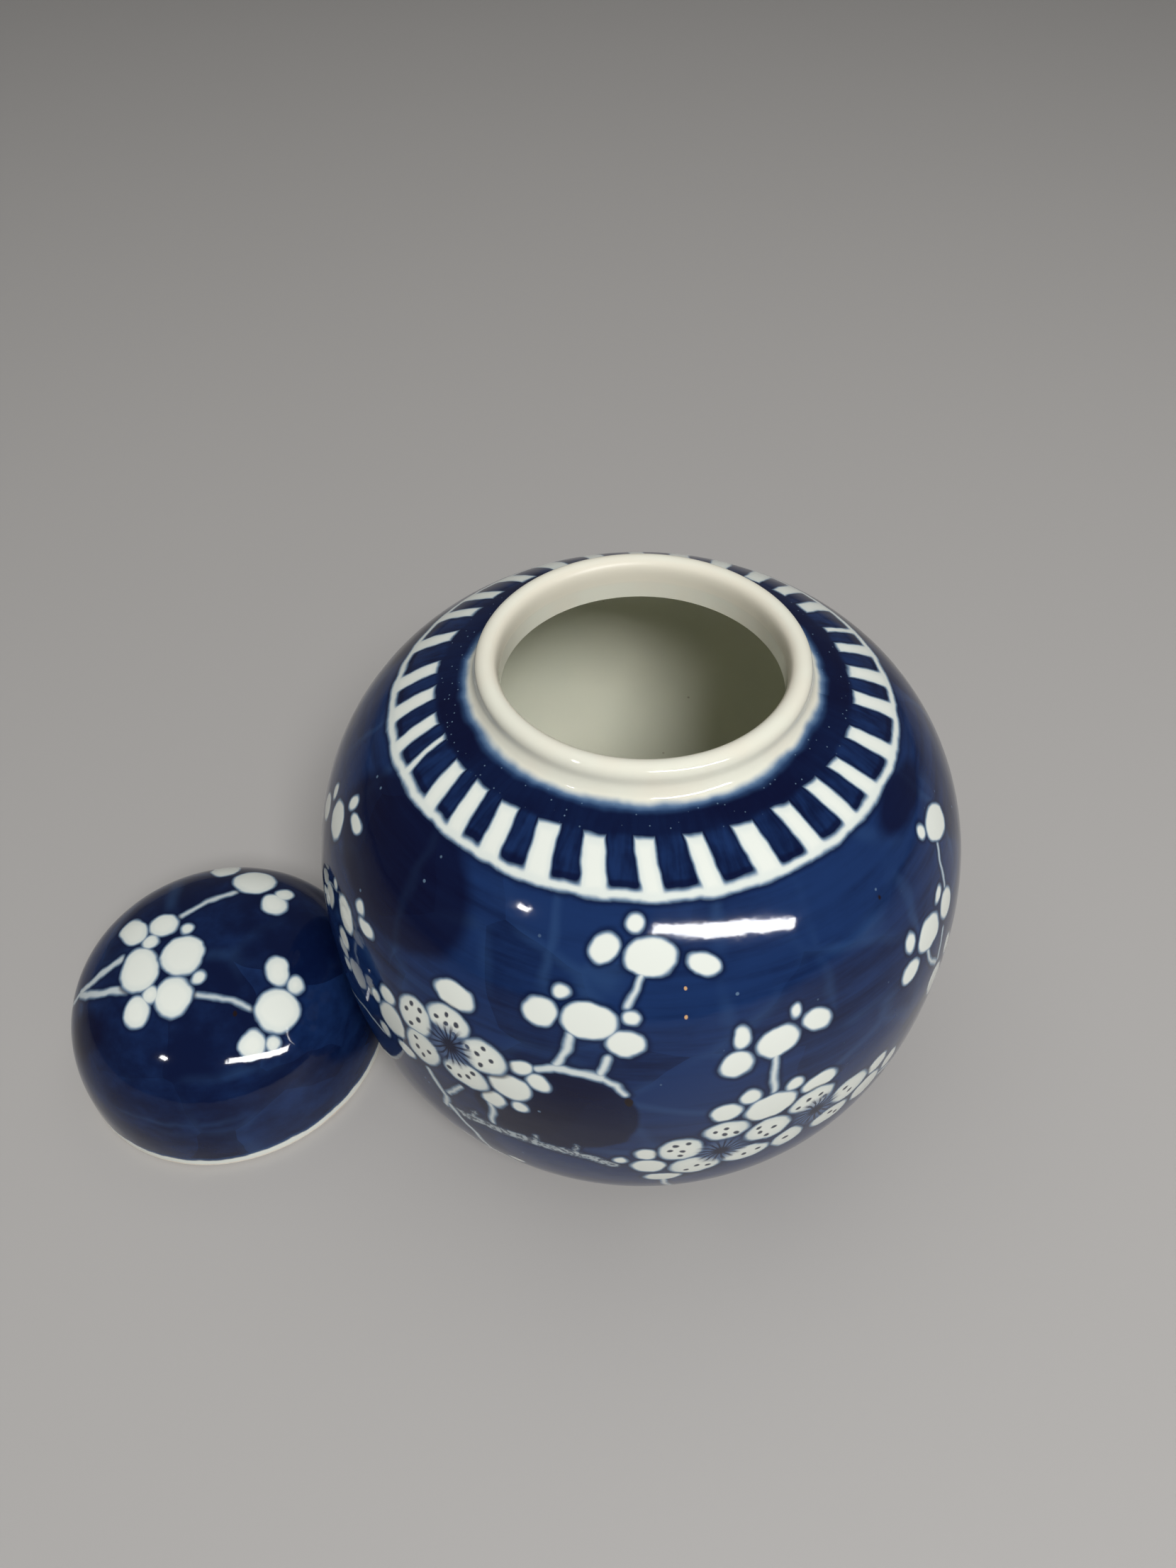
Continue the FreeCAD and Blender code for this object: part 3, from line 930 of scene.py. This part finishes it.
class OBJECT_OT_ginger_jar_body(bpy.types.Operator):
    """Make the jar's body: foot ring, painted belly, white neck and rolled lip"""
    bl_idname = "object.ginger_jar_body"
    bl_label = "Jar Body"

    def execute(self, context):
        chosen = settings()
        size = chosen.jar
        roll = size.lip_thickness / 2
        mouth = size.lip_radius - size.lip_thickness
        neck = size.lip_radius - size.lip_overhang
        lip_centre = at(mouth + roll, size.height - roll)
        droop = math.acos((roll - size.lip_overhang) / roll)
        groove = towards(lip_centre, -droop, roll)
        collar_radius = size.lip_radius + size.flare_width
        flare = (collar_radius - neck) / (1 - math.sin(size.shoulder_slope))
        flare_centre = groove + at(flare, 0)
        collar = towards(flare_centre, math.radians(270) - size.shoulder_slope, flare)
        opening = at(mouth + size.throat_bevel, collar.y - size.wall)
        foot_in = size.foot_radius - size.foot_width
        bevel = 0.6 * MM
        ledge = size.foot_radius + 1.0 * MM
        body_start = at(ledge, size.foot_height)
        floor_edge = at(ledge - size.wall, size.foot_recess + size.floor)

        outside = flank(size, body_start, 0.0, OUTSIDE_STEPS)
        outside += shoulder(size, collar, 0.0, OUTSIDE_STEPS)[1:]
        neck_step = 0.85 * MM
        neck_root = collar + neck_step * at(-1.0, math.tan(size.shoulder_slope))
        rim = straight(collar, neck_root, 4) + straight(neck_root, groove, 14)[1:]
        rim += arc(lip_centre, roll, -droop, math.radians(180), 36)[1:]
        throat = at(mouth, opening.y + size.throat_bevel)
        rim = soften(rim + straight(lip_centre - at(roll, 0), throat, 16)[1:], 36)
        recess = straight(at(0, size.foot_recess), at(foot_in, size.foot_recess), 8)
        ring = [
            at(foot_in, size.foot_recess), at(foot_in, bevel), at(foot_in + bevel, 0),
            at(size.foot_radius - bevel, 0), at(size.foot_radius, bevel),
            at(size.foot_radius, size.foot_height), body_start,
        ]
        inside = soften(
            straight(throat, opening, 3)
            + shoulder(size, opening, size.wall, INSIDE_STEPS)[::-1][1:]
            + flank(size, floor_edge, size.wall, INSIDE_STEPS)[::-1][1:]
            + straight(floor_edge, at(0, floor_edge.y), 20)[1:], 2)
        bands = [(recess, 2), (ring, 3), (outside + rim[1:], 0), (inside, 1)]

        def unroll(points):
            widest = at(size.belly_radius, size.belly_height)
            heights = arc_lengths(points, widest)
            return [lambda angle, height=height: (math.degrees(angle) * DEGREE, height)
                    for height in heights]

        glaze = plain_glaze(chosen.colours)
        materials = [painted_jar(chosen.colours), glaze, glaze, bare_porcelain(chosen.colours)]
        centre = (JAR_LOW + JAR_HIGH) / 2
        jar = turned("jar_body_painted", bands, chosen, centre, size.unevenness, unroll, materials)
        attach(jar, "jar")
        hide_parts("jar_body")
        return {"FINISHED"}


class OBJECT_OT_ginger_jar_lid(bpy.types.Operator):
    """Make the cap lid: painted dome, bare rim and glazed hollow"""
    bl_idname = "object.ginger_jar_lid"
    bl_label = "Cap Lid"

    def execute(self, context):
        chosen = settings()
        size = chosen.lid
        bevel = 0.7 * MM
        bore = size.radius - size.wall
        outside = dome(size.radius, size.skirt, size.height, 90)[::-1]
        outside += straight(at(size.radius, size.skirt), at(size.radius, size.bare_rim), 6)[1:]
        rim = [
            at(size.radius, size.bare_rim), at(size.radius, bevel), at(size.radius - bevel, 0),
            at(bore + bevel, 0), at(bore, bevel),
        ]
        inside = straight(at(bore, bevel), at(bore, size.socket), 8)
        inside += dome(bore, size.socket, size.height - size.crown, INSIDE_STEPS)[1:]
        bands = [(outside, 0), (rim, 1), (inside, 2)]

        def unroll(points):
            reaches = arc_lengths(points, at(0, size.height))
            return [lambda angle, reach=reach: (reach * math.sin(angle), -reach * math.cos(angle))
                    for reach in reaches]

        materials = [
            painted_lid(chosen.colours), bare_porcelain(chosen.colours),
            plain_glaze(chosen.colours)]
        centre = (LID_LOW + LID_HIGH) / 2
        lid = turned("lid_painted", bands, chosen, centre, size.unevenness, unroll, materials)
        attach(lid, "lid")
        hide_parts("lid")
        return {"FINISHED"}


def area_lamp(name, left, right, target, depth, power, mirrored):
    """A flat lamp from its left end to its right that faces a target. It either lights things or
    shows in the glaze."""
    along = (right - left).normalized()
    place = (left + right) / 2
    aside = (place - target).cross(along).normalized()
    facing = Matrix((along, aside, along.cross(aside))).transposed().to_4x4()
    data = bpy.data.lights.new(name, "AREA")
    data.shape = "RECTANGLE"
    data.size = (right - left).length
    data.size_y = depth
    data.energy = power
    lamp = bpy.data.objects.new(name, data)
    lamp.matrix_world = Matrix.Translation(place) @ facing
    lamp.visible_glossy = mirrored
    lamp.visible_diffuse = not mirrored
    bpy.context.collection.objects.link(lamp)


def aimed(start, turn, lift, distance):
    """A place seen from start at a turn to the right of -Y and a lift above level."""
    turn, lift = math.radians(turn), math.radians(lift)
    level = math.cos(lift)
    way = Vector((math.sin(turn) * level, -math.cos(turn) * level, math.sin(lift)))
    return start + distance * way


class OBJECT_OT_ginger_jar_stage(bpy.types.Operator):
    """Set up the plain floor, the soft light and the camera"""
    bl_idname = "object.ginger_jar_stage"
    bl_label = "Stage"

    def execute(self, context):
        stage = settings().stage
        scene = context.scene
        mesh = bpy.data.meshes.new("floor")
        half = 6.0
        corners = [(-half, -half, 0), (half, -half, 0), (half, half, 0), (-half, half, 0)]
        mesh.from_pydata(corners, [], [(0, 1, 2, 3)])
        floor = bpy.data.objects.new("floor", mesh)
        context.collection.objects.link(floor)
        paint = Paint("pale_floor")
        cloud = paint.noise(paint.place(), 5.0, 3.0)
        colour = paint.mix(cloud * 0.3, stage.floor_colour, stage.floor_cloud)
        bump = {"Strength": 0.05, "Distance": 1.0 * MM, "Height": cloud}
        normal = paint.node("ShaderNodeBump", {}, bump)
        mesh.materials.append(paint.finish(colour, 0.55, normal))
        floor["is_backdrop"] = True

        world = bpy.data.worlds.new("even_light")
        world.use_nodes = True
        world.node_tree.nodes["Background"].inputs["Color"].default_value = (*stage.world_colour, 1)
        scene.world = world

        # Lamps that light the object: each one's place, width and power
        middle = Vector((-0.03, 0.0, 0.05))
        for name, place, width, power in (
                ("key_light", Vector((0.33, -0.87, 1.17)), 0.42, stage.key_power),
                ("overhead_light", Vector((-0.2, 0.2, 1.5)), 1.8, stage.fill_power)):
            half = Vector((width / 2, 0, 0))
            area_lamp(name, place - half, place + half, middle, width, power, False)
        # Lamps that show in the glaze: the turn and lift of both ends in degrees, as the jar's
        # shoulder sees them, the lamp's depth and its power
        shoulder_spot = Vector((0.012, -0.056, 0.1))
        lamp_distance = 1.25
        for name, left, right, depth, power in (
                ("right_lamp", (6.0, 41.5), (55.5, 22.5), 0.12, stage.lamp_power),
                ("left_lamp", (-47.5, 35.0), (-43.0, 35.0), 0.06, stage.lamp_power * 0.06)):
            ends = [aimed(shoulder_spot, turn, lift, lamp_distance) for turn, lift in (left, right)]
            area_lamp(name, *ends, shoulder_spot, depth, power, True)

        yaw, pitch, roll = stage.camera_yaw, stage.camera_pitch, stage.camera_roll
        reach = math.cos(pitch)
        forward = Vector((math.sin(yaw) * reach, math.cos(yaw) * reach, -math.sin(pitch)))
        level = forward.cross(Vector((0, 0, 1))).normalized()
        upright = level.cross(forward)
        right = math.cos(roll) * level + math.sin(roll) * upright
        above = math.cos(roll) * upright - math.sin(roll) * level
        data = bpy.data.cameras.new("camera")
        data.sensor_width = 36.0
        data.lens = stage.camera_lens
        data.clip_start = 0.01
        camera = bpy.data.objects.new("camera", data)
        turned_by = Matrix((right, above, -forward)).transposed().to_4x4()
        camera.matrix_world = Matrix.Translation(stage.camera_place) @ turned_by
        context.collection.objects.link(camera)
        scene.camera = camera
        scene.view_settings.view_transform = "Standard"
        return {"FINISHED"}


class VIEW3D_PT_ginger_jar(bpy.types.Panel):
    """Buttons and settings of the ginger jar"""
    bl_label = "Ginger Jar"
    bl_space_type = "VIEW_3D"
    bl_region_type = "UI"
    bl_category = "Ginger Jar"

    def draw(self, context):
        layout = self.layout
        for operator in OPERATORS:
            layout.operator(operator.bl_idname)
        chosen = context.scene.ginger_jar
        layout.prop(chosen, "turns")
        for group in (chosen.jar, chosen.lid, chosen.colours, chosen.stage):
            box = layout.box()
            for name in group.__annotations__:
                box.prop(group, name)


OPERATORS = (OBJECT_OT_ginger_jar_stage, OBJECT_OT_ginger_jar_body, OBJECT_OT_ginger_jar_lid)
CLASSES = (JarSizes, LidSizes, GlazeColours, StageSettings, GingerJarSettings) + OPERATORS + (
    VIEW3D_PT_ginger_jar,)


def register():
    for item in CLASSES:
        bpy.utils.register_class(item)
    bpy.types.Scene.ginger_jar = PointerProperty(type=GingerJarSettings)


def unregister():
    del bpy.types.Scene.ginger_jar
    for item in reversed(CLASSES):
        bpy.utils.unregister_class(item)


def main():
    register()
    bpy.ops.object.ginger_jar_stage()
    bpy.ops.object.ginger_jar_body()
    bpy.ops.object.ginger_jar_lid()
    boxes = {"cad": cad_box, "visual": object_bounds()}
    plain = {name: [list(corner) for corner in box] for name, box in boxes.items()}


if __name__ == "__main__":
    main()
